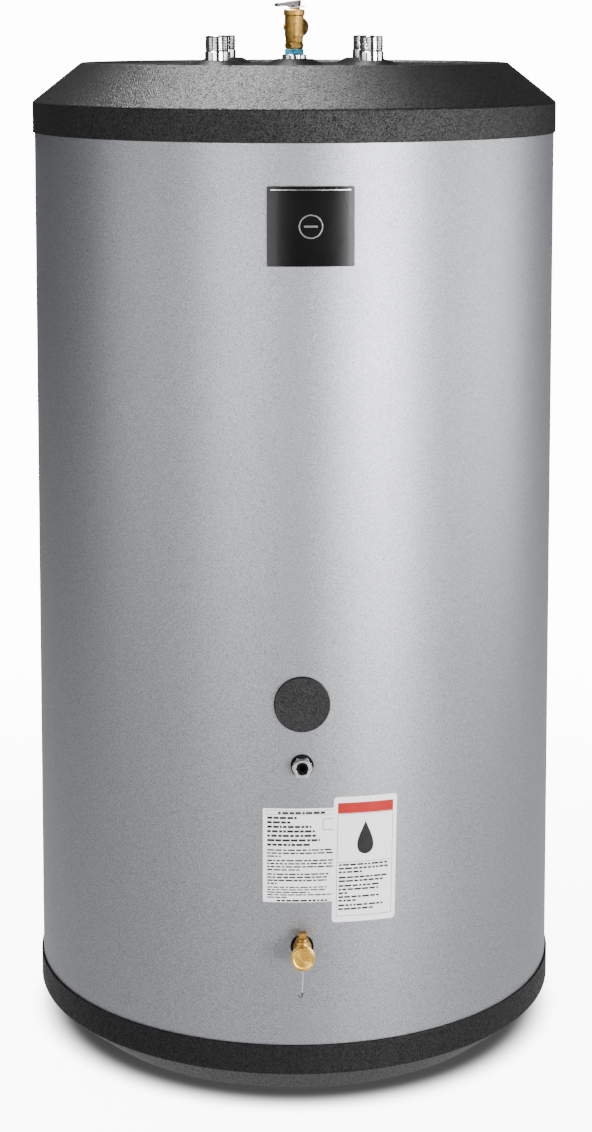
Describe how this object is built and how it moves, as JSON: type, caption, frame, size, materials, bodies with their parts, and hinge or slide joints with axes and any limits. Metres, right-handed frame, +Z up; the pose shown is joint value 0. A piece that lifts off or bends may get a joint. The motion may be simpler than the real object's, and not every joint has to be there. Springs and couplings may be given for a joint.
{
  "type": "tank water heater",
  "caption": "Upright cylindrical tank water heater with a grey steel jacket, black textured base and lid, top pipe nipples, a relief valve and front fittings.",
  "frame": {"origin": "centre of the round underside of the base pan, on the floor under the tank's axis", "axes": "+Z up along the tank's axis; -Y out of the front, where the plaque, cap, gland and drain valve are; +X to the right seen from the front"},
  "size_m": [0.7856, 0.8306, 1.5459],
  "materials": {
    "black_textured_plastic": "matte",
    "painted_jacket": "satin",
    "steel_rivets": "satin",
    "stainless_tank": "satin",
    "galvanised_steel": "satin",
    "polished_stainless": "polished",
    "insulation_foam": "matte",
    "cupronickel": "satin",
    "cast_brass": "satin",
    "turned_brass": "polished",
    "sealing_tape": "satin",
    "black_rubber": "matte",
    "spring_steel": "satin",
    "lever_steel": "satin",
    "black_vinyl": "satin",
    "black_oxide_steel": "satin",
    "clear_tie": "gloss",
    "pocket_plastic": "matte",
    "thermostat_case": "satin",
    "dial_plastic": "satin",
    "cap_plastic": "satin",
    "nickel_plate": "satin",
    "washer_plastic": "satin",
    "lanyard_wire": "satin",
    "plaque_plastic": "gloss",
    "rating_label": "satin",
    "safety_label": "satin"
  },
  "bodies": {
    "heater": {"base_pan": "black_textured_plastic", "support_ring": "galvanised_steel", "tank_bottom_head": "stainless_tank", "tank_shell": "stainless_tank", "tank_top_head": "stainless_tank", "insulation_bottom": "insulation_foam", "insulation_side": "insulation_foam", "insulation_top": "insulation_foam", "jacket": "painted_jacket", "seam_rivets": "steel_rivets", "top_lid": "black_textured_plastic", "hot_outlet_nipple": "polished_stainless", "cold_inlet_nipple": "polished_stainless", "boiler_supply_nipple": "polished_stainless", "boiler_return_nipple": "polished_stainless", "cold_dip_tube": "stainless_tank", "heat_exchanger_coil": "cupronickel", "relief_coupling": "polished_stainless", "relief_tape": "sealing_tape", "relief_body": "cast_brass", "relief_probe": "cupronickel", "relief_spring": "spring_steel", "relief_bonnet": "cast_brass", "lever_rivet": "steel_rivets", "tag_tie": "clear_tie", "control_pocket": "pocket_plastic", "thermostat_body": "thermostat_case", "thermostat_screws": "galvanised_steel", "thermowell": "stainless_tank", "sensor_bulb": "cupronickel", "sensor_capillary": "cupronickel", "gland_grommet": "black_rubber", "gland_body": "nickel_plate", "gland_locknut": "nickel_plate", "gland_seal": "black_rubber", "drain_spud": "stainless_tank", "drain_grommet": "black_rubber", "drain_body": "cast_brass", "drain_packing_nut": "cast_brass", "lanyard_ring": "lanyard_wire", "lanyard": "lanyard_wire", "lanyard_hook": "black_oxide_steel", "badge_plate": "plaque_plastic", "rating_label": "rating_label", "safety_label": "safety_label"},
    "relief_lever": {"relief_lever": "lever_steel", "relief_lever_tip": "black_vinyl"},
    "relief_stem": {"relief_stem": "stainless_tank", "stem_pin": "black_oxide_steel", "relief_seat_seal": "black_rubber"},
    "drain_plug": {"drain_plug": "cast_brass", "drain_turn_head": "cast_brass"},
    "drain_cap_gasket": {"drain_cap_gasket": "black_rubber"},
    "drain_cap": {"drain_cap": "turned_brass"},
    "access_cap": {"access_cap": "cap_plastic"},
    "thermostat_dial": {"thermostat_dial": "dial_plastic"},
    "gland_washer": {"gland_washer": "washer_plastic"},
    "gland_nut": {"gland_nut": "nickel_plate"}
  },
  "joints": [
    {"name": "relief_lever_lift", "type": "hinge", "parent": "heater", "child": "relief_lever", "pos_m": [0.00451, -0.00164, 1.5411], "axis": [0.342, 0.9397, 0], "range_deg": [0, 40]},
    {"name": "relief_stem_lift", "type": "slide", "parent": "heater", "child": "relief_stem", "axis": [0, 0, 1], "range_m": [0, 0.0026], "stiffness_N_per_m": 900, "springref_m": -0.003, "deforming": ["relief_spring"]},
    {"name": "drain_plug_turn", "type": "hinge", "parent": "heater", "child": "drain_plug", "pos_m": [0.01139, -0.40784, 0.234], "axis": [0, 0, 1], "range_deg": [0, 90]},
    {"name": "drain_cap_slide", "type": "slide", "parent": "heater", "child": "drain_cap_gasket", "axis": [0.0279, -0.9996, 0], "range_m": [0, 0.00883]},
    {"name": "drain_cap_unscrew", "type": "hinge", "parent": "drain_cap_gasket", "child": "drain_cap", "pos_m": [0.01205, -0.43133, 0.234], "axis": [0.0279, -0.9996, 0], "range_deg": [0, 1440]},
    {"name": "access_cap_pull", "type": "slide", "parent": "heater", "child": "access_cap", "axis": [0.0279, -0.9996, 0], "range_m": [0, 0.04]},
    {"name": "thermostat_dial_turn", "type": "hinge", "parent": "heater", "child": "thermostat_dial", "pos_m": [0.01048, -0.37515, 0.579], "axis": [0.0279, -0.9996, 0], "range_deg": [0, 270]},
    {"name": "gland_washer_slide", "type": "slide", "parent": "heater", "child": "gland_washer", "axis": [0.0279, -0.9996, 0], "range_m": [0, 0.0045]},
    {"name": "gland_nut_unscrew", "type": "hinge", "parent": "gland_washer", "child": "gland_nut", "pos_m": [0.0112, -0.40084, 0.492], "axis": [0.0279, -0.9996, 0], "range_deg": [0, 1080]}
  ],
  "couplings": [
    {"joint": "relief_lever_lift", "follows": "relief_stem_lift", "rad_per_m": 268.51},
    {"joint": "drain_cap_unscrew", "follows": "drain_cap_slide", "rad_per_m": 2844.7},
    {"joint": "gland_nut_unscrew", "follows": "gland_washer_slide", "rad_per_m": 4188.8}
  ]
}
